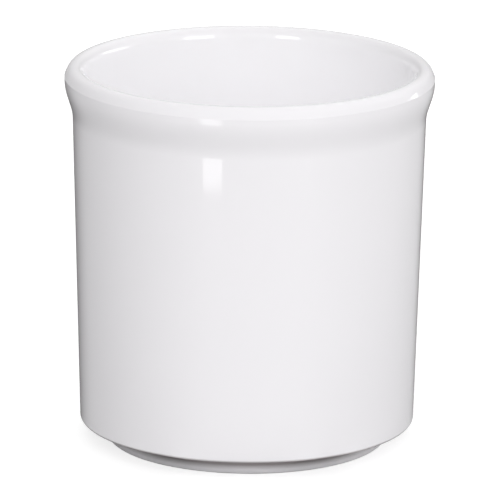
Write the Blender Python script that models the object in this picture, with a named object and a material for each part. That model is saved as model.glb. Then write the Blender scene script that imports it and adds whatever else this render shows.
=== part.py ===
"""A one-piece condiment jar: a tapered cup with a rounded lip, a flared rim and an inset foot ring.

The jar is moulded in one shot, so it is one solid: a single section turned about the upright axis.
Lengths are in metres, +Z is up, and the origin is the middle of the face that the jar stands on.
A section point is (radius, height).
"""

import math

import bmesh
import bpy
from mathutils import Vector

# Overall form
HEIGHT = 0.1243  # from the table to the crest of the lip
RIM_RADIUS = 0.0600  # widest radius, at the mould's parting line
WALL = 0.0038  # thickness of the side wall
FLOOR = 0.0044  # thickness of the bottom

# Lip: rises from the parting line, crests, and rolls over into the mouth
LIP_RISE = 0.0036  # crest above the parting line
LIP_SHOULDER = 0.0037  # crest inwards of the parting line
LIP_EDGE_SLOPE = math.radians(67)  # steepness of the lip where it leaves the parting line
LIP_EDGE_PULL = 0.0020  # how far the lip follows that slope
LIP_CREST_PULL = 0.0024  # how far it stays level outwards of the crest
LIP_ROLL = 0.0040  # depth of the roll from the crest down to the inner wall

# Flare: swells out from the wall to the parting line
FLARE_DEPTH = 0.0136  # from the parting line down to the neck, where the plain wall starts
FLARE_PROUD = 0.0027  # how far the parting line stands out past the neck
FLARE_BAND = 0.0015  # straight band right under the parting line
FLARE_LEAN = math.radians(1.5)  # inward lean of that band
FLARE_EDGE_PULL = 0.0044  # how far the flare follows that lean below the band
FLARE_NECK_PULL = 0.0044  # how far the neck follows the wall before it swells

# Body
TAPER = 0.0027  # the wall's radius is this much less at the bottom than at the neck
CORNER_RADIUS = 0.0012  # rounding where the wall turns under
INSIDE_CORNER_RADIUS = 0.0080  # rounding between the inner wall and the floor

# Foot
FOOT_HEIGHT = 0.0061  # the body's underside above the table
FOOT_INSET = 0.0088  # foot ring inwards of the wall's lowest radius
FOOT_FILLET = 0.0005  # hollow where the foot ring meets the surfaces above it
FOOT_DRAFT = 0.0002  # the ring is this much narrower at the table
FOOT_EDGE_RADIUS = 0.0006  # rounding of the ring's two standing edges
FOOT_RING_WIDTH = 0.0040  # width of the ring's section
RECESS_DEPTH = 0.0026  # hollow under the floor, inside the ring

# Fineness of the turned surface
STEPS_AROUND = 72
STEPS_CURVE = 6  # the foot's small roundings take a third of it
SHARP_ANGLE = math.radians(28)
WELD = 0.000001  # section points turned on the axis fall closer than this

# Finish: glossy white moulded melamine
WHITE = (0.896, 0.881, 0.904, 1.0)
GLOSS_ROUGHNESS = 0.12
MELAMINE_IOR = 1.60

# Radii and heights that follow from the sizes above
parting_height = HEIGHT - LIP_RISE
crest_radius = RIM_RADIUS - LIP_SHOULDER
neck_radius = RIM_RADIUS - FLARE_PROUD
neck_height = parting_height - FLARE_DEPTH
base_radius = neck_radius - TAPER
base_height = FOOT_HEIGHT + CORNER_RADIUS
mouth_radius = neck_radius - WALL
inside_base_radius = base_radius - WALL
foot_radius = base_radius - FOOT_INSET
ring_inner_radius = foot_radius - FOOT_RING_WIDTH
floor_height = RECESS_DEPTH + FLOOR


def arc(centre, reach, start, end, steps):
    """Points of an ellipse about centre with half-axes reach, from one angle to the other."""
    points = []
    for i in range(steps + 1):
        angle = start + (end - start) * i / steps
        points.append(centre + Vector((reach[0] * math.cos(angle), reach[1] * math.sin(angle))))
    return points


def curve(first, leave, arrive, last, steps):
    """Points of the cubic curve from first, which it leaves towards one handle, to last."""
    points = []
    for i in range(steps + 1):
        t = i / steps
        start_part = first * (1 - t) ** 3 + leave * 3 * t * (1 - t) ** 2
        points.append(start_part + arrive * 3 * t**2 * (1 - t) + last * t**3)
    return points


def inside_section():
    """Floor's middle and inside corner, up to where the straight inner wall starts."""
    middle = Vector((0, floor_height))
    centre = Vector((inside_base_radius - INSIDE_CORNER_RADIUS, floor_height + INSIDE_CORNER_RADIUS))
    reach = (INSIDE_CORNER_RADIUS, INSIDE_CORNER_RADIUS)
    return [middle] + arc(centre, reach, -math.pi / 2, 0, STEPS_CURVE)


def lip_section():
    """Roll from the inner wall up to the crest, then down over the shoulder to the parting line."""
    crest = Vector((crest_radius, HEIGHT))
    parting = Vector((RIM_RADIUS, parting_height))
    slope = Vector((-math.cos(LIP_EDGE_SLOPE), math.sin(LIP_EDGE_SLOPE)))
    level = Vector((1, 0))
    reach = (crest_radius - mouth_radius, LIP_ROLL)
    roll = arc(Vector((crest_radius, HEIGHT - LIP_ROLL)), reach, math.pi, math.pi / 2, STEPS_CURVE)
    arrive = parting + slope * LIP_EDGE_PULL
    return roll + curve(crest, crest + level * LIP_CREST_PULL, arrive, parting, STEPS_CURVE)[1:]


def flare_section():
    """Band under the parting line, then a gentle double curve in to the wall."""
    neck = Vector((neck_radius, neck_height))
    wall_down = (Vector((base_radius, base_height)) - neck).normalized()
    lean = Vector((-math.sin(FLARE_LEAN), -math.cos(FLARE_LEAN)))
    band_end = Vector((RIM_RADIUS, parting_height)) + lean * FLARE_BAND
    arrive = neck - wall_down * FLARE_NECK_PULL
    return curve(band_end, band_end + lean * FLARE_EDGE_PULL, arrive, neck, STEPS_CURVE)


def corner_section():
    """Where the outer wall rounds under, as far as the ledge above the foot ring."""
    centre = Vector((base_radius - CORNER_RADIUS, base_height))
    return arc(centre, (CORNER_RADIUS, CORNER_RADIUS), 0, -math.pi / 2, STEPS_CURVE)


def foot_section():
    """Outside of the foot ring, its standing face, and the recess under the floor."""
    edge = (FOOT_EDGE_RADIUS, FOOT_EDGE_RADIUS)
    fillet = (FOOT_FILLET, FOOT_FILLET)
    outer_edge = Vector((foot_radius - FOOT_DRAFT - FOOT_EDGE_RADIUS, FOOT_EDGE_RADIUS))
    inner_edge = Vector((ring_inner_radius + FOOT_EDGE_RADIUS, FOOT_EDGE_RADIUS))
    under_body = Vector((foot_radius + FOOT_FILLET, FOOT_HEIGHT - FOOT_FILLET))
    under_floor = Vector((ring_inner_radius - FOOT_FILLET, RECESS_DEPTH - FOOT_FILLET))
    steps = STEPS_CURVE // 3
    points = arc(under_body, fillet, math.pi / 2, math.pi, steps)
    points += arc(outer_edge, edge, 0, -math.pi / 2, steps)
    points += arc(inner_edge, edge, -math.pi / 2, -math.pi, steps)
    points += arc(under_floor, fillet, 0, math.pi / 2, steps)
    return points + [Vector((0, RECESS_DEPTH))]


def turned_mesh(name, section):
    """A closed mesh made by turning a section, which starts and ends on the axis, about Z."""
    shape = bmesh.new()
    points = [shape.verts.new((radius, 0, height)) for radius, height in section]
    edges = [shape.edges.new(pair) for pair in zip(points, points[1:])]
    bmesh.ops.spin(
        shape,
        geom=points + edges,
        cent=(0, 0, 0),
        axis=(0, 0, 1),
        angle=2 * math.pi,
        steps=STEPS_AROUND,
        use_merge=True,
    )
    bmesh.ops.remove_doubles(shape, verts=shape.verts, dist=WELD)
    bmesh.ops.recalc_face_normals(shape, faces=shape.faces)
    mesh = bpy.data.meshes.new(name)
    shape.to_mesh(mesh)
    shape.free()
    mesh.shade_smooth()
    mesh.set_sharp_from_angle(angle=SHARP_ANGLE)
    return mesh


def melamine():
    """Glossy white moulded melamine."""
    material = bpy.data.materials.new("white_melamine")
    material.use_nodes = True
    shader = material.node_tree.nodes["Principled BSDF"]
    shader.inputs["Base Color"].default_value = WHITE
    shader.inputs["Roughness"].default_value = GLOSS_ROUGHNESS
    shader.inputs["Metallic"].default_value = 0.0
    shader.inputs["IOR"].default_value = MELAMINE_IOR
    material.diffuse_color = WHITE
    return material


def main():
    for old in list(bpy.data.objects):
        bpy.data.objects.remove(old)
    section = inside_section() + lip_section() + flare_section() + corner_section() + foot_section()
    mesh = turned_mesh("jar", section)
    mesh.materials.append(melamine())
    jar = bpy.data.objects.new("jar", mesh)
    bpy.context.scene.collection.objects.link(jar)
    print(f"jar: {len(section)} points in the section, {len(mesh.polygons)} faces")


main()
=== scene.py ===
# %% [markdown]
# # A white condiment jar, moulded in one piece
# The real object is an open jar for dressings: a tapered cup with a rounded lip, a flared rim and a
# small foot ring, pressed in one shot from glossy white melamine. Nothing on it moves or comes apart.
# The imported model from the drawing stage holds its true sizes. This lesson loads that model as a fixed
# frame, lays a much finer surface over it, gives it a worn glossy finish, and lights it in a white tent.

# %% Load the frame
import math

import bpy
import numpy as np
from mathutils import Matrix, Vector


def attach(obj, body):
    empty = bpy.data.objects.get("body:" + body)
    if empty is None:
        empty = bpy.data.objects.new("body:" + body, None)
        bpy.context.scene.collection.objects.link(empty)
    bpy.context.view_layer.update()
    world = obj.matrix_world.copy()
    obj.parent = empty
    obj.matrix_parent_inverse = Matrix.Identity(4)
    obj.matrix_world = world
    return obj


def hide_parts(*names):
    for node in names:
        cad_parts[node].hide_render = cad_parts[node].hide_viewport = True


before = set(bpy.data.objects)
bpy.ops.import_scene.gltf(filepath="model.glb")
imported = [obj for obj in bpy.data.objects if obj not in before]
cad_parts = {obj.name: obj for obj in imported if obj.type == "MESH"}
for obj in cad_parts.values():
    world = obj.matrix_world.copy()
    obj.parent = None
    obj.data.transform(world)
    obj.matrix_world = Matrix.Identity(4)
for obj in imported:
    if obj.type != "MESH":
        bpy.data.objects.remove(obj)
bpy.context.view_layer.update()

# %% [markdown]
# ## Camera
# The photograph was taken from about two metres away with a long lens, a little above the jar's rim.
# A camera could be placed by eye, but the rim's ellipses fix it: how round they look gives the angle,
# and how much the foot's ellipse differs from the rim's gives the distance. The picture leans by half
# a degree, so the camera is turned about its own line of sight by that much.

# %% Place the camera
VIEW_ELEVATION = math.radians(15.03)
VIEW_DISTANCE = 2.1
VIEW_ROLL = math.radians(0.546)
VIEW_AIM = Vector((0.00059, 0.00011, 0.06241))
LENS = 463.7  # in millimetres

sight_back = Vector((0, -math.cos(VIEW_ELEVATION), math.sin(VIEW_ELEVATION)))
sight_up = Vector((0, math.sin(VIEW_ELEVATION), math.cos(VIEW_ELEVATION)))
picture_right = Vector((1, 0, 0)) * math.cos(VIEW_ROLL) + sight_up * math.sin(VIEW_ROLL)
picture_up = sight_back.cross(picture_right)

camera = bpy.data.objects.new("camera", bpy.data.cameras.new("camera"))
camera.data.lens = LENS
camera.matrix_world = Matrix.Translation(VIEW_AIM + sight_back * VIEW_DISTANCE) @ Matrix(
    (picture_right, picture_up, sight_back)
).transposed().to_4x4()
bpy.context.scene.collection.objects.link(camera)
bpy.context.scene.camera = camera
print("camera at", [round(x, 3) for x in camera.matrix_world.translation])

# %% [markdown]
# ## The section
# Anything turned is drawn as half a section and swung round its axis. The section could be traced point
# by point, but a moulder's drawing uses arcs, straight runs and smooth curves between named sizes, and
# so does this one. A point is (radius, height) in metres, and the section runs from the middle of the
# inner floor, up the inner wall, over the lip, down the outside, and under the foot to the axis again.

# %% Curves that a section is made of
def arc(centre, reach, start, end, steps):
    """Part of an ellipse: centre + (reach_r * cos a, reach_z * sin a), with a even from start to end."""
    a = np.linspace(math.radians(start), math.radians(end), steps + 1)
    return np.column_stack([centre[0] + reach[0] * np.cos(a), centre[1] + reach[1] * np.sin(a)])


def rounding(centre, size, start, end, steps):
    """Part of a circle: an arc that reaches equally far both ways."""
    return arc(centre, (size, size), start, end, steps)


def bend(first, leave, arrive, last, steps):
    """Cubic curve: (1-t)^3 first + 3t(1-t)^2 leave + 3t^2(1-t) arrive + t^3 last, with even t."""
    t = np.linspace(0, 1, steps + 1)[:, None]
    near = np.array(first) * (1 - t) ** 3 + np.array(leave) * 3 * t * (1 - t) ** 2
    return near + np.array(arrive) * 3 * t**2 * (1 - t) + np.array(last) * t**3


def run(first, last, steps):
    """Straight run, first + (last - first) * (1 - cos(pi t)) / 2, which crowds points at both ends."""
    t = (1 - np.cos(np.linspace(0, math.pi, steps + 1)))[:, None] / 2
    return np.array(first) * (1 - t) + np.array(last) * t


# %% Sizes of the rim and the body
HEIGHT = 0.1243  # crest of the lip above the table
RIM_RADIUS = 0.0600  # widest, at the mould's parting line
WALL = 0.0038  # thickness of the side wall
LIP_RISE = 0.0036  # crest above the parting line
LIP_SHOULDER = 0.0037  # crest inwards of it
LIP_SLOPE = math.radians(67)  # steepness where the lip meets the parting line
LIP_EDGE_PULL = 0.0020  # how far the lip follows that slope
LIP_CREST_PULL = 0.0024  # how far it stays level outwards of the crest
LIP_ROLL = 0.0040  # depth of the roll into the mouth
FLARE_DEPTH = 0.0136  # from the parting line down to the neck, where the plain wall starts
FLARE_PROUD = 0.0027  # parting line outwards of the neck
FLARE_BAND = 0.0015  # straight band right under the parting line
FLARE_LEAN = math.radians(1.5)  # inward lean of that band
FLARE_PULL = 0.0044  # handle of the flare's curve at either end
TAPER = 0.0027  # the wall's radius is this much less at the bottom than at the neck
FOOT_HEIGHT = 0.0061  # underside of the body above the table
CORNER = 0.0012  # rounding where the wall turns under
parting = np.array([RIM_RADIUS, HEIGHT - LIP_RISE])
crest = np.array([RIM_RADIUS - LIP_SHOULDER, HEIGHT])
neck = np.array([RIM_RADIUS - FLARE_PROUD, parting[1] - FLARE_DEPTH])
mouth_radius = neck[0] - WALL
base_radius = neck[0] - TAPER
print("across (mm): crest %.1f, mouth %.1f, neck %.1f, bottom %.1f" % tuple(
    2000 * r for r in (crest[0], mouth_radius, neck[0], base_radius)))

# %% [markdown]
# The parting line looks razor sharp, but a mould leaves a tiny rounding there, of 0.1 to 0.3 mm radius.
# Without it no light would catch the edge, so the corner between lip and flare is cut back by a hair and
# bridged with a short curve.

# %% Section of the lip and the flare
EDGE_CUT = 0.00007  # how far the parting line's corner is cut back on either side

slope = np.array([-math.cos(LIP_SLOPE), math.sin(LIP_SLOPE)])
lean = np.array([-math.sin(FLARE_LEAN), -math.cos(FLARE_LEAN)])
above, below = parting + slope * EDGE_CUT, parting + lean * EDGE_CUT
roll_reach = (crest[0] - mouth_radius, LIP_ROLL)
roll = arc((crest[0], HEIGHT - LIP_ROLL), roll_reach, 180, 90, steps=18)
level = np.array([LIP_CREST_PULL, 0])
shoulder = bend(crest, crest + level, above + slope * LIP_EDGE_PULL, above, steps=22)
witness = bend(above, parting, parting, below, steps=4)
wall_foot = np.array([base_radius, FOOT_HEIGHT + CORNER])
wall_down = (wall_foot - neck) / np.linalg.norm(wall_foot - neck)
band_end = parting + lean * FLARE_BAND
band = run(below, band_end, steps=5)
flare = bend(band_end, band_end + lean * FLARE_PULL, neck - wall_down * FLARE_PULL, neck, steps=36)
print("lip and flare:", len(roll) + len(shoulder) + len(witness) + len(band) + len(flare), "points")

# %% Section of the inside and the outer wall
FLOOR = 0.0044  # thickness of the bottom
RECESS = 0.0026  # hollow under the floor
INSIDE_CORNER = 0.0080  # rounding between the inner wall and the floor
floor_height = RECESS + FLOOR
inside_base = base_radius - WALL
corner_middle = (inside_base - INSIDE_CORNER, floor_height + INSIDE_CORNER)
inner_floor = run((0, floor_height), (corner_middle[0], floor_height), steps=24)
inner_corner = rounding(corner_middle, INSIDE_CORNER, -90, 0, steps=24)
inner_wall = run(inner_corner[-1], roll[0], steps=44)
outer_wall = run(neck, wall_foot, steps=50)
print("inside %.1f mm deep" % (1000 * (HEIGHT - floor_height)))

# %% Section of the foot ring
FOOT_INSET = 0.0088  # ring inwards of the wall's lowest radius
FOOT_DRAFT = 0.0002  # the ring is this much narrower at the table
RING_WIDTH = 0.0040
FILLET = 0.0005  # hollow where the ring meets the surfaces above it
EDGE = 0.0006  # rounding of the ring's two standing edges
SMALL_STEPS = 6
foot_radius = base_radius - FOOT_INSET
ring_inner = foot_radius - RING_WIDTH
under_corner = rounding((base_radius - CORNER, wall_foot[1]), CORNER, 0, -90, steps=18)
foot_fillet = rounding((foot_radius + FILLET, FOOT_HEIGHT - FILLET), FILLET, 90, 180, SMALL_STEPS)
outer_edge = rounding((foot_radius - FOOT_DRAFT - EDGE, EDGE), EDGE, 0, -90, SMALL_STEPS)
inner_edge = rounding((ring_inner + EDGE, EDGE), EDGE, -90, -180, SMALL_STEPS)
recess_fillet = rounding((ring_inner - FILLET, RECESS - FILLET), FILLET, 0, 90, SMALL_STEPS)
foot = [
    run(under_corner[-1], foot_fillet[0], steps=8), foot_fillet,
    run(foot_fillet[-1], outer_edge[0], steps=4), outer_edge,
    run(outer_edge[-1], inner_edge[0], steps=8), inner_edge,
    run(inner_edge[-1], recess_fillet[0], steps=3), recess_fillet,
    run(recess_fillet[-1], (0, RECESS), steps=16),
]
print("standing ring from %.1f to %.1f mm radius" % (1000 * inner_edge[0][0], 1000 * outer_edge[-1][0]))

# %% Join the section
SAME_POINT = 1e-8  # neighbours closer than this are one point

inner_parts = [inner_floor, inner_corner, inner_wall, roll]
outer_parts = [shoulder, witness, band, flare, outer_wall, under_corner]
section = np.vstack(inner_parts + outer_parts + foot)
apart = np.linalg.norm(np.diff(section, axis=0), axis=1) > SAME_POINT
section = section[np.append(True, apart)]
section[[0, -1], 0] = 0
print("section:", len(section), "points")


# %% [markdown]
# ## Turning the section
# Blender's Spin tool or a Screw modifier would turn it too. Here the whole surface is worked out at once
# as a grid with two parameters, the place along the section and the angle round the axis, which keeps
# every ring and every seam exactly where the formula puts it. The two ends of the section lie on the
# axis, so each is one point with a fan of triangles, and the last column of faces meets the first.

# %% Surface of revolution
AROUND = 256


def turned(name, section, around):
    """Closed surface: (r cos a, r sin a, z) for each section point (r, z) and angle a = 2 pi i / around.
    The material lies to the right of the way that the section runs, so the faces look out to its left."""
    angle = 2 * math.pi * np.arange(around) / around
    r, z = section[1:-1, 0][:, None], section[1:-1, 1][:, None]
    rings = np.stack([r * np.cos(angle), r * np.sin(angle), np.broadcast_to(z, (len(r), around))], -1)
    poles = [[0, 0, section[0, 1]], [0, 0, section[-1, 1]]]
    corners = np.vstack([rings.reshape(-1, 3), poles])
    here = np.arange(len(r) * around).reshape(len(r), around)
    ahead = np.roll(here, -1, axis=1)
    quads = np.stack([here[:-1], here[1:], ahead[1:], ahead[:-1]], -1).reshape(-1, 4)
    first, last = len(corners) - 2, len(corners) - 1
    start_fan = np.stack([np.full(around, first), here[0], ahead[0]], -1)
    end_fan = np.stack([here[-1], np.full(around, last), ahead[-1]], -1)
    mesh = bpy.data.meshes.new(name)
    mesh.from_pydata(corners, [], quads.tolist() + start_fan.tolist() + end_fan.tolist())
    mesh.shade_smooth()
    return mesh


jar_mesh = turned("jar_surface", section, AROUND)
jar = bpy.data.objects.new("jar_surface", jar_mesh)
bpy.context.scene.collection.objects.link(jar)
print("jar_surface:", len(jar_mesh.vertices), "points,", len(jar_mesh.polygons), "faces")

# %% [markdown]
# ## Where the finish changes, and where light and shade are painted
# A moulding isn't the same all over. The parting line is buffed where the flash was trimmed, the ring
# that it stands on is ground dull by tables and racks, and ladles scuff the inner floor. Light and shade
# are painted too: the inside is painted a shade whiter, as painted light, the crest of the lip a little
# greyer, as painted shade, and a dark grey painted shade lies above the foot and under the bottom corner.
# Each place is a number from 0 to 1 at every point, worked out from the section and stored in the mesh,
# so that the material can follow the form exactly.

# %% Reach of each mark, in metres
STANDING_NONE, STANDING_FULL = 0.00040, 0.00005  # height above the table
BUFFED_WIDTH = 0.00035  # round the parting line
SCUFFED_NONE, SCUFFED_FULL = 0.012, 0.001  # height above the inner floor
# painted shade above the foot: how it climbs the ring's outer face, and how far out it reaches
GROOVE_SHADE_START, GROOVE_SHADE_RISE, GROOVE_SHADE_POWER = 0.0010, 0.0023, 1.6  # up the outside of the ring
GROOVE_SHADE_NONE, GROOVE_SHADE_FULL = 0.0045, 0.0010  # outwards of the ring
RING_FACE = 0.0010  # the ring's outer face with its edge is no deeper than this
TUCK_NONE, TUCK_FULL = 0.0010, 0.0003  # inwards and outwards of the bottom corner's start
CREST_SHADE_NONE, CREST_SHADE_FULL = 0.0026, 0.0004  # outwards of the crest
MOUTH_FADE = 0.0008  # outwards of the mouth
HAIR = 0.0001  # so that a limit takes in the points right on it
print("scuffs reach", 1000 * SCUFFED_NONE, "mm up from the inner floor")


# %% Masks along the section
def smooth_step(low, high, value):
    """0 up to low, 1 from high on, and t*t*(3-2t) between them."""
    t = np.clip((value - low) / (high - low), 0, 1)
    return t * t * (3 - 2 * t)


radius, height = section.T
outside = np.arange(len(section)) > len(np.vstack(inner_parts))
standing = smooth_step(STANDING_NONE, STANDING_FULL, height)
buffed = np.exp(-(np.linalg.norm(section - parting, axis=1) / BUFFED_WIDTH) ** 2)
scuffed = (1 - outside) * smooth_step(floor_height + SCUFFED_NONE, floor_height + SCUFFED_FULL, height)
# painted light: the inside, from the crest inwards, is painted a shade whiter than the outside
inside = (1 - outside) * smooth_step(crest[0], mouth_radius, radius)
# painted shade: the crest of the lip and its roll into the mouth are painted a little greyer
crest_shade = smooth_step(crest[0] + CREST_SHADE_NONE, crest[0] + CREST_SHADE_FULL, radius)
crest_shade = crest_shade * (height > HEIGHT - LIP_ROLL)
crest_shade = crest_shade * smooth_step(mouth_radius - HAIR, mouth_radius + MOUTH_FADE, radius)
print("masks worked out for", len(section), "rings")

# %% Mask of the painted shade above the foot
climb = np.clip((height - GROOVE_SHADE_START) / GROOVE_SHADE_RISE, 0, 1) ** GROOVE_SHADE_POWER
groove_shade = climb * smooth_step(foot_radius + GROOVE_SHADE_NONE, foot_radius + GROOVE_SHADE_FULL, radius)
groove_shade = groove_shade * outside * (radius > foot_radius - RING_FACE)
corner_start = base_radius - CORNER
# painted shade also on the underside of the bottom corner, where it turns in towards the foot
turned_under = smooth_step(FOOT_HEIGHT + CORNER, FOOT_HEIGHT, height) * (height > FOOT_HEIGHT - HAIR)
turned_under = turned_under * smooth_step(corner_start - TUCK_NONE, corner_start + TUCK_FULL, radius)
groove_shade = np.maximum(groove_shade, outside * turned_under)
print("painted_shade reaches %.1f mm up" % (1000 * height[groove_shade > 0].max()))


# %% Store the masks
def paint(mesh, name, along_section, around):
    """Stores one value for each section point, the same all round, as a point attribute."""
    values = np.append(np.repeat(along_section[1:-1], around), along_section[[0, -1]])
    mesh.attributes.new(name, "FLOAT", "POINT").data.foreach_set("value", values.astype(np.float32))


masks = {"standing": standing, "buffed": buffed, "scuffed": scuffed, "inside": inside,
         "groove_shade": groove_shade, "crest_shade": crest_shade}
for name, amount in masks.items():
    paint(jar_mesh, name, amount, AROUND)
    print("mask", name, "covers", int((amount > 0.5).sum()), "rings")

# %% [markdown]
# ## White melamine
# Moulded melamine is hard, dense and glossy, a little like glazed ceramic, with a cool white that is not
# quite pure. One colour and one roughness would look like paint in a computer. The real surface waves
# very slightly, because the mould was polished by hand, and it holds fine pores, wiping marks and knocks.
# Two small effects, a wave with pores and a set of hairline marks, are node groups, so that each can be
# used in several places with its own values.

# %% Helpers for nodes
def node(tree, kind, inputs=None, **settings):
    """Adds a node, sets its settings, and links or sets each input."""
    made = tree.nodes.new(kind)
    for key, value in settings.items():
        setattr(made, key, value)
    for key, value in (inputs or {}).items():
        if isinstance(value, bpy.types.NodeSocket):
            tree.links.new(value, made.inputs[key])
        else:
            made.inputs[key].default_value = value
    return made


def maths(tree, operation, *values, clamp=False):
    """One Math node, and its result."""
    inputs = dict(enumerate(values))
    return node(tree, "ShaderNodeMath", inputs, operation=operation, use_clamp=clamp).outputs[0]


def noise(tree, place, scale, detail):
    """One noise, and its value."""
    inputs = {"Vector": place, "Scale": scale, "Detail": detail}
    return node(tree, "ShaderNodeTexNoise", inputs).outputs[0]


def new_group(name, inputs, outputs):
    """An empty node group with its sockets, and its input and output nodes."""
    tree = bpy.data.node_groups.new(name, "ShaderNodeTree")
    for title, kind, value in inputs:
        socket = tree.interface.new_socket(title, in_out="INPUT", socket_type=kind)
        if value is not None:
            socket.default_value = value
    for title, kind in outputs:
        tree.interface.new_socket(title, in_out="OUTPUT", socket_type=kind)
    return tree, tree.nodes.new("NodeGroupInput"), tree.nodes.new("NodeGroupOutput")


# %% Group: hairline marks
NOISE_MIDDLE = 0.5  # the value that a noise most often has


def hairlines():
    """Thin lines where a stretched noise crosses its middle value, broken up by a second, coarser noise."""
    tree, given, out = new_group(
        "hairline_marks",
        [("Place", "NodeSocketVector", None), ("Turn", "NodeSocketFloat", 0.0),
         ("Fineness", "NodeSocketFloat", 400.0), ("Length", "NodeSocketFloat", 0.03),
         ("Thinness", "NodeSocketFloat", 30.0)],
        [("Marks", "NodeSocketFloat")],
    )
    turned_place = node(tree, "ShaderNodeVectorRotate", {"Vector": given.outputs["Place"],
                        "Angle": given.outputs["Turn"]}, rotation_type="Z_AXIS")
    axes = node(tree, "ShaderNodeSeparateXYZ", {0: turned_place.outputs[0]})
    along = maths(tree, "MULTIPLY", axes.outputs[0], given.outputs["Length"])
    stretched = node(tree, "ShaderNodeCombineXYZ", {0: along, 1: axes.outputs[1], 2: axes.outputs[2]})
    lines = noise(tree, stretched.outputs[0], given.outputs["Fineness"], 1.0)
    off_middle = maths(tree, "ABSOLUTE", maths(tree, "SUBTRACT", lines, NOISE_MIDDLE))
    wide = maths(tree, "MULTIPLY", off_middle, given.outputs["Thinness"])
    thin = maths(tree, "SUBTRACT", 1.0, wide, clamp=True)
    broken = noise(tree, given.outputs["Place"], 90.0, 2.0)
    kept = node(tree, "ShaderNodeMapRange", {"Value": broken, "From Min": 0.50, "From Max": 0.62})
    tree.links.new(maths(tree, "MULTIPLY", thin, kept.outputs[0]), out.inputs["Marks"])
    return tree


hairline_group = hairlines()
print("group", hairline_group.name, "with", len(hairline_group.nodes), "nodes")


# %% Group: moulded wave and pores
def moulded_skin():
    """Height in metres: a slow wave of the polished mould plus a much finer, shallower pore."""
    tree, given, out = new_group(
        "moulded_skin",
        [("Place", "NodeSocketVector", None), ("Wave", "NodeSocketFloat", 0.000012),
         ("Pore", "NodeSocketFloat", 0.0000004)],
        [("Height", "NodeSocketFloat"), ("Tone", "NodeSocketFloat")],
    )
    slow = noise(tree, given.outputs["Place"], 38.0, 1.0)
    fine = noise(tree, given.outputs["Place"], 1100.0, 2.0)
    cloud = noise(tree, given.outputs["Place"], 17.0, 3.0)
    wave = maths(tree, "MULTIPLY", slow, given.outputs["Wave"])
    pore = maths(tree, "MULTIPLY", fine, given.outputs["Pore"])
    tree.links.new(maths(tree, "ADD", wave, pore), out.inputs["Height"])
    tree.links.new(cloud, out.inputs["Tone"])
    return tree


skin_group = moulded_skin()
print("group", skin_group.name, "with", len(skin_group.nodes), "nodes")

# %% Material: helpers for the melamine
material = bpy.data.materials.new("white_melamine")
material.use_nodes = True
tree = material.node_tree
shader = tree.nodes["Principled BSDF"]
place = node(tree, "ShaderNodeTexCoord").outputs["Object"]


def mask(name):
    """One of the masks along the section."""
    return node(tree, "ShaderNodeAttribute", attribute_name=name).outputs["Fac"]


def blend(amount, first, second):
    """Colour between two colours."""
    return node(tree, "ShaderNodeMix", {0: amount, 6: first, 7: second}, data_type="RGBA").outputs[2]


def marks(turn, fineness, length, thinness):
    """Hairline marks of one direction and size."""
    values = {"Place": place, "Turn": turn, "Fineness": fineness, "Length": length, "Thinness": thinness}
    return node(tree, "ShaderNodeGroup", values, node_tree=hairline_group).outputs["Marks"]


skin = node(tree, "ShaderNodeGroup", {"Place": place}, node_tree=skin_group)
wiped = marks(turn=0.4, fineness=520.0, length=0.03, thinness=46.0)
ladled = marks(turn=1.3, fineness=300.0, length=0.05, thinness=30.0)
racked = marks(turn=2.2, fineness=900.0, length=0.1, thinness=8.0)
print("skin and three sets of hairline marks placed in", material.name)

# %% Material: colour of white melamine, with painted light and shade
MELAMINE = (0.896, 0.881, 0.904, 1.0)
MELAMINE_DEEP = (0.884, 0.869, 0.893, 1.0)
# painted light: the inside's colour, a shade whiter than the outside
INSIDE_PAINTED_LIGHT = (0.914, 0.907, 0.920, 1.0)
# painted shade: the lip's crest, a little greyer than the rest
CREST_PAINTED_SHADE = (0.852, 0.840, 0.858, 1.0)
# painted shade: dark grey in the groove above the foot and under the bottom corner
GROOVE_PAINTED_SHADE = (0.13, 0.105, 0.105, 1.0)
RACK_GREY = (0.52, 0.50, 0.50, 1.0)
EVEN_RUB = 0.45  # how much the standing ring is rubbed between its marks
GROOVE_SHADE_COVER = 0.95  # how much of the white the painted shade hides at most

rubbed = maths(tree, "MULTIPLY", mask("standing"), maths(tree, "ADD", EVEN_RUB, racked, clamp=True))
clouded = blend(skin.outputs["Tone"], MELAMINE, MELAMINE_DEEP)
# painted light and shade: the inside is painted whiter, the crest greyer, and the groove above the foot dark
# grey
inside_painted_lighter = blend(mask("inside"), clouded, INSIDE_PAINTED_LIGHT)
crest_shaded = blend(mask("crest_shade"), inside_painted_lighter, CREST_PAINTED_SHADE)
groove_shaded = blend(maths(tree, "MULTIPLY", mask("groove_shade"), GROOVE_SHADE_COVER), crest_shaded, GROOVE_PAINTED_SHADE)
tree.links.new(blend(rubbed, groove_shaded, RACK_GREY), shader.inputs["Base Color"])
print("colour of", material.name, "set")

# %% [markdown]
# The gloss says more about a surface than its colour. Melamine's polish reflects lamps with nearly sharp
# edges, so its roughness is low, and each kind of wear adds to it in its own place: the buffed parting
# line, the ladled floor, the ring that stands on racks, and faint wiping marks everywhere.

# %% Material: gloss
POLISH = 0.045  # roughness of the plain gloss, to which the next ones are added
LADLE_ROUGH, SCUFF_ROUGH = 0.30, 0.05  # in a ladle's mark, and all over the scuffed floor
BUFF_ROUGH, STANDING_ROUGH = 0.16, 0.42
CLOUD_ROUGH, WIPE_ROUGH = 0.03, 0.03
MELAMINE_IOR = 1.60

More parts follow.
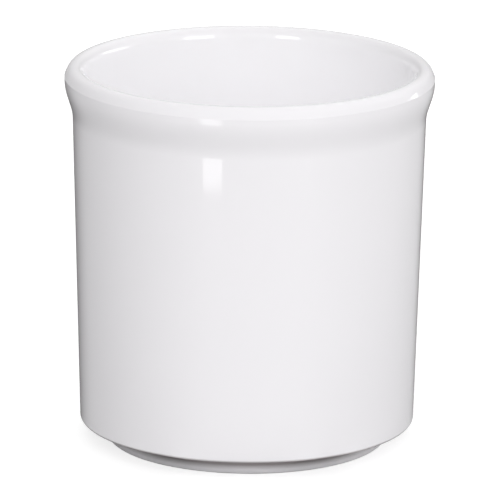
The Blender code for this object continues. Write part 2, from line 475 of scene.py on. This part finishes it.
in_marks = maths(tree, "MULTIPLY", ladled, LADLE_ROUGH)
worn = maths(tree, "MULTIPLY", mask("scuffed"), maths(tree, "ADD", in_marks, SCUFF_ROUGH))
on_line = maths(tree, "MULTIPLY", mask("buffed"), BUFF_ROUGH)
dull = maths(tree, "ADD", on_line, maths(tree, "MULTIPLY", mask("standing"), STANDING_ROUGH))
in_clouds = maths(tree, "MULTIPLY", skin.outputs["Tone"], CLOUD_ROUGH)
hazy = maths(tree, "ADD", in_clouds, maths(tree, "MULTIPLY", wiped, WIPE_ROUGH))
rough = maths(tree, "ADD", maths(tree, "ADD", worn, dull), maths(tree, "ADD", hazy, POLISH), clamp=True)
tree.links.new(rough, shader.inputs["Roughness"])
shader.inputs["IOR"].default_value = MELAMINE_IOR
shader.inputs["Metallic"].default_value = 0.0
print("gloss set, polish", POLISH)

# %% Material: relief
LADLE_HEIGHT, RUB_HEIGHT = -0.000006, -0.000010  # in metres, below the surface

cut = maths(tree, "MULTIPLY", maths(tree, "MULTIPLY", mask("scuffed"), ladled), LADLE_HEIGHT)
ground = maths(tree, "MULTIPLY", rubbed, RUB_HEIGHT)
relief = maths(tree, "ADD", maths(tree, "ADD", cut, ground), skin.outputs["Height"])
bump = node(tree, "ShaderNodeBump", {"Height": relief, "Strength": 1.0, "Distance": 1.0})
tree.links.new(bump.outputs[0], shader.inputs["Normal"])
jar_mesh.materials.append(material)
print(material.name, "has", len(tree.nodes), "nodes")

# %% Hand the piece to the frame
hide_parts("jar")
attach(jar, "root")
print("jar_surface stands for the packed jar")

# %% [markdown]
# ## Table and backdrop
# The picture is a catalogue picture on pure white. A strong lamp on the background would do that in a
# real studio, but it would also spill on the jar. Here the table is a plain pale sheet that is lit like
# everything else, so it keeps the jar's soft shadow. White is added only to what the camera sees of it,
# and a very little to what a reflection sees.

# %% Floor
SPAN = 6.0  # half the floor's width

floor_mesh = bpy.data.meshes.new("floor")
edge = np.array([[-1, -1], [1, -1], [1, 1], [-1, 1]]) * SPAN
floor_mesh.from_pydata(np.column_stack([edge, np.zeros(4)]), [], [(0, 1, 2, 3)])
floor = bpy.data.objects.new("floor", floor_mesh)
bpy.context.scene.collection.objects.link(floor)
print("floor", 2 * SPAN, "m across")

# %% Material of the floor
TABLE = (0.40, 0.40, 0.40, 1.0)
CAMERA_LIFT = 0.72  # white added to what the camera sees of the table
MIRROR_LIFT = 0.02  # and to what a reflection sees of it
WHITE = (1, 1, 1, 1)

paper = bpy.data.materials.new("pale_table")
paper.use_nodes = True
table = paper.node_tree
sheet = table.nodes["Principled BSDF"]
sheet.inputs["Base Color"].default_value = TABLE
sheet.inputs["Roughness"].default_value = 0.6
sheet.inputs["Specular IOR Level"].default_value = 0.2
sheet.inputs["Emission Color"].default_value = WHITE
path = node(table, "ShaderNodeLightPath")
seen = maths(table, "MAXIMUM", path.outputs["Is Glossy Ray"], path.outputs["Is Transmission Ray"])
to_camera = maths(table, "MULTIPLY", path.outputs["Is Camera Ray"], CAMERA_LIFT)
lift = maths(table, "ADD", to_camera, maths(table, "MULTIPLY", seen, MIRROR_LIFT))
table.links.new(lift, sheet.inputs["Emission Strength"])
floor_mesh.materials.append(paper)
print("table lifted by", CAMERA_LIFT, "for the camera and", MIRROR_LIFT, "for reflections")

# %% [markdown]
# White ware on a white ground loses its edges. The cure in a studio is a black card behind the object,
# which the polish mirrors only where the surface turns away from the camera. It could stand outside the
# picture, but here it can lie right behind the jar, because only mirrored rays are allowed to meet it.
# It fades out to the sides, sooner on the right, where the outline in the photograph is thinner.

# %% Edge card
CARD_NEAR, CARD_FAR = 0.050, 0.62  # metres from the jar's axis
NEAR_TURN, FAR_TURN = (-50, 245), (46, 142)  # degrees round the jar, from the right to the left
FADE_RIGHT, FADE_LEFT = (0.06, 0.30), (0.76, 1.0)  # shares of that turn
CARD_STEPS = 96
CARD_LIFT = 0.0004  # above the table

across = np.linspace(0, 1, CARD_STEPS + 1)
arcs = [(CARD_NEAR, NEAR_TURN), (CARD_FAR, FAR_TURN)]
rims = np.vstack([rounding((0, 0), reach, *turn, CARD_STEPS) for reach, turn in arcs])
darkness = smooth_step(*FADE_RIGHT, across) * (1 - smooth_step(*FADE_LEFT, across))
corners = np.column_stack([rims, np.full(len(rims), CARD_LIFT)])
step = np.arange(CARD_STEPS)
faces = np.column_stack([step, step + CARD_STEPS + 1, step + CARD_STEPS + 2, step + 1])
card_mesh = bpy.data.meshes.new("edge_card")
card_mesh.from_pydata(corners, [], faces.tolist())
card_mesh.attributes.new("darkness", "FLOAT", "POINT").data.foreach_set("value", np.tile(darkness, 2))
edge_card = bpy.data.objects.new("edge_card", card_mesh)
for way in ("camera", "diffuse", "transmission", "volume_scatter", "shadow"):
    setattr(edge_card, "visible_" + way, False)
bpy.context.scene.collection.objects.link(edge_card)
print("edge card behind the jar,", CARD_NEAR, "to", CARD_FAR, "m from its axis")

# %% Material of the edge card
CARD_BLACK = (0.06, 0.055, 0.055, 1.0)

card_black = bpy.data.materials.new("black_card")
card_black.use_nodes = True
black = card_black.node_tree
black_sheet = black.nodes["Principled BSDF"]
black_sheet.inputs["Base Color"].default_value = CARD_BLACK
black_sheet.inputs["Roughness"].default_value = 0.9
painted = node(black, "ShaderNodeAttribute", attribute_name="darkness").outputs["Fac"]
black.links.new(painted, black_sheet.inputs["Alpha"])
card_mesh.materials.append(card_black)
print("edge card fades out over", FADE_RIGHT, "and", FADE_LEFT)

# %% [markdown]
# ## White tent
# White tableware is photographed inside a tent: light comes from nearly everywhere, most from the front,
# from right of the camera and from behind, and least from the two sides. The left gets less than the
# right, which draws the jar's left edge. A tent can be built from big lamps, but a world whose brightness
# changes smoothly with direction gives the same light with no seams and little noise. Each patch of sky
# is strength * max(0, direction . middle) ** 16. The patches light the jar, while its polish mirrors a
# calm grey cloth, so that only the cards added below show as highlights.

# %% World
PATCH_EDGE = 16.0  # the power above: more makes a patch smaller
TENT_CLOTH = 0.38  # what the polish mirrors of the tent
TENT = {  # azimuth from the camera towards the right, elevation, strength
    "front": (0, 28, 2.44),
    "front_right": (40, 28, 1.95),
    "right": (80, 28, 1.03),
    "back_right": (120, 28, 1.52),
    "back_a": (160, 28, 1.81),
    "back_b": (-160, 28, 1.81),
    "left": (-80, 28, 0.98),
    "front_left": (-40, 28, 1.08),
    "front_high": (0, 52, 1.36),
    "back_right_high": (120, 52, 0.60),
    "back_high": (180, 52, 1.62),
    "left_high": (-72, 58, 1.50),
    "right_low": (80, 8, 0.62),
    "back_low": (160, 8, 0.80),
}


def towards(azimuth, elevation):
    """Unit vector: (sin az cos el, -cos az cos el, sin el), so azimuth 0 points at the camera."""
    az, el = math.radians(azimuth), math.radians(elevation)
    return Vector((math.sin(az) * math.cos(el), -math.cos(az) * math.cos(el), math.sin(el)))


world = bpy.data.worlds.new("white_tent")
world.use_nodes = True
bpy.context.scene.world = world
sky = world.node_tree
sky.nodes.clear()
direction = node(sky, "ShaderNodeTexCoord").outputs["Generated"]
total = 0.0
for name, (azimuth, elevation, strength) in TENT.items():
    dot = node(sky, "ShaderNodeVectorMath", {0: direction, 1: towards(azimuth, elevation)},
               operation="DOT_PRODUCT", label=name).outputs["Value"]
    patch = maths(sky, "POWER", maths(sky, "MAXIMUM", dot, 0.0), PATCH_EDGE)
    total = maths(sky, "ADD", maths(sky, "MULTIPLY", patch, strength), total)
ray = node(sky, "ShaderNodeLightPath")
mirrored = maths(sky, "MAXIMUM", ray.outputs["Is Glossy Ray"], ray.outputs["Is Transmission Ray"])
backdrop = maths(sky, "ADD", ray.outputs["Is Camera Ray"], maths(sky, "MULTIPLY", mirrored, TENT_CLOTH))
lighting = maths(sky, "MULTIPLY", total, ray.outputs["Is Diffuse Ray"])
brightness = maths(sky, "ADD", lighting, backdrop)
tent = node(sky, "ShaderNodeBackground", {"Color": WHITE, "Strength": brightness})
node(sky, "ShaderNodeOutputWorld", {"Surface": tent.outputs[0]})
print("tent of", len(TENT), "patches of sky")


# %% [markdown]
# ## Cards
# A photographer of glossy white ware works with cards. White ones lie on the table in front and on the
# right, and throw light up under the flare. Narrow strips lie close round the foot, and lift the foot ring
# and the bottom of the wall, which the body shades. Bright ones stand or hang round the jar, and its
# polish mirrors them as highlights: two on the wall, a streak on the near lip, and three short ones on the
# far lip. In Blender all are area lamps: the lying ones light only what is matt, the others show only in
# reflections. A lamp's watts are brightness * pi * its area.

# %% One card
UP = (0, 0, 1)


def card(name, middle, facing, width, tall, brightness, gloss_only):
    """Flat lamp at middle whose bright side looks along facing; watts = brightness * pi * width * tall."""
    lamp = bpy.data.lights.new(name, "AREA")
    lamp.shape = "RECTANGLE"
    lamp.size, lamp.size_y = width, tall
    lamp.energy = brightness * math.pi * (width * tall)
    holder = bpy.data.objects.new(name, lamp)
    turn = (-Vector(facing)).to_track_quat("Z", "Y")
    holder.matrix_world = Matrix.Translation(Vector(middle)) @ turn.to_matrix().to_4x4()
    holder.visible_camera = False
    holder.visible_diffuse = not gloss_only
    holder.visible_glossy = gloss_only
    bpy.context.scene.collection.objects.link(holder)
    return holder


table_cards = [
    card("table_card_front", (0, -0.36, 0.003), UP, 0.50, 0.34, 0.67, gloss_only=False),
    card("table_card_right", (0.36, 0, 0.003), UP, 0.34, 0.50, 0.38, gloss_only=False),
    card("table_card_near", (0.03, -0.12, 0.003), UP, 0.20, 0.10, 0.32, gloss_only=False),
]
print("cards on the table:", [lamp.name for lamp in table_cards])

# %% Strips round the foot
STRIP_LIFT = 0.001  # above the table
FOOT_STRIP = (0.0515, 0.050, 0.006)  # distance from the axis, length, width
WALL_STRIP = (0.066, 0.056, 0.012)


def strip(name, azimuth, place, brightness):
    """Narrow card lying on the table beside the jar, across the line from the axis towards azimuth."""
    distance, wide, deep = place
    middle = towards(azimuth, 0) * distance + Vector((0, 0, STRIP_LIFT))
    laid = card(name, middle, UP, wide, deep, brightness, gloss_only=False)
    laid.matrix_world = laid.matrix_world @ Matrix.Rotation(-math.radians(azimuth), 4, "Z")
    return laid


strips = [
    strip("foot_strip_left", -60, FOOT_STRIP, 0.62),
    strip("foot_strip_front", 0, FOOT_STRIP, 1.50),
    strip("foot_strip_right", 60, FOOT_STRIP, 1.30),
    strip("wall_strip_left", -48, WALL_STRIP, 0.22),
    strip("wall_strip_front", 0, WALL_STRIP, 0.36),
    strip("wall_strip_right", 48, WALL_STRIP, 0.34),
]
print("strips:", [lamp.name for lamp in strips])

# %% Cards for highlights on the wall
STANDING_DISTANCE = 0.34  # from the jar's axis


def standing_card(name, azimuth, low, high, width, brightness):
    """Upright card for highlights, its lower and upper edge at these heights, facing the jar's axis."""
    side = towards(azimuth, 0)
    middle = side * STANDING_DISTANCE + Vector((0, 0, (low + high) / 2))
    return card(name, middle, -side, width, high - low, brightness, gloss_only=True)


wall_lights = [
    standing_card("highlight_left", -21.8, 0.0074, 0.0525, 0.070, 2.3),
    standing_card("highlight_right", 35.5, 0.014, 0.055, 0.010, 1.2),
]
print("highlights on the wall:", [lamp.name for lamp in wall_lights])

# %% Cards for highlights on the lip
RIM_MIDDLE = Vector((0, 0, 0.118))  # directions to these cards are seen from here
HANGING_DISTANCE, HANGING_WIDTH = 0.8, 0.08
FAR_DISTANCE = 1.5


def hanging_card(name, first, last, brightness):
    """Long card for highlights on the lip, hung between two (azimuth, elevation) directions seen from it."""
    ends = [RIM_MIDDLE + towards(*way) * HANGING_DISTANCE for way in (first, last)]
    middle, along = (ends[0] + ends[1]) / 2, (ends[1] - ends[0])
    hung = card(name, middle, RIM_MIDDLE - middle, along.length, HANGING_WIDTH, brightness, gloss_only=True)
    back = (middle - RIM_MIDDLE).normalized()
    side = (along - back * along.dot(back)).normalized()
    turn = Matrix((side, back.cross(side), back)).transposed()
    hung.matrix_world = Matrix.Translation(middle) @ turn.to_4x4()
    return hung


def far_card(name, azimuth, elevation, wide, high, brightness):
    """Card for highlights on the far lip; each side is 2 * distance * tan(half the angle it is seen at)."""
    way = towards(azimuth, elevation)
    sides = [2 * FAR_DISTANCE * math.tan(math.radians(angle) / 2) for angle in (wide, high)]
    return card(name, RIM_MIDDLE + way * FAR_DISTANCE, -way, *sides, brightness, gloss_only=True)


lip_lights = [
    hanging_card("streak_right", (114, 14), (90, 38), 0.8),
    hanging_card("streak_front", (90, 38), (62, 73), 0.25),
    far_card("far_lip_right", -27, 12, 16, 18, 6.0),
    far_card("far_lip_middle", 37, 12, 21, 18, 4.8),
    far_card("far_lip_left", 110, 5.5, 30, 8, 4.2),
]
print("highlights on the lip:", [lamp.name for lamp in lip_lights])

# %% View settings
bpy.context.scene.view_settings.view_transform = "Standard"
bpy.context.scene.cycles.diffuse_bounces = 12  # light bounces many times inside a white cup
bpy.context.scene.cycles.glossy_bounces = 12  # and mirrored light runs round its wall in short skips
bpy.context.scene.cycles.max_bounces = 16
print("view transform", bpy.context.scene.view_settings.view_transform)
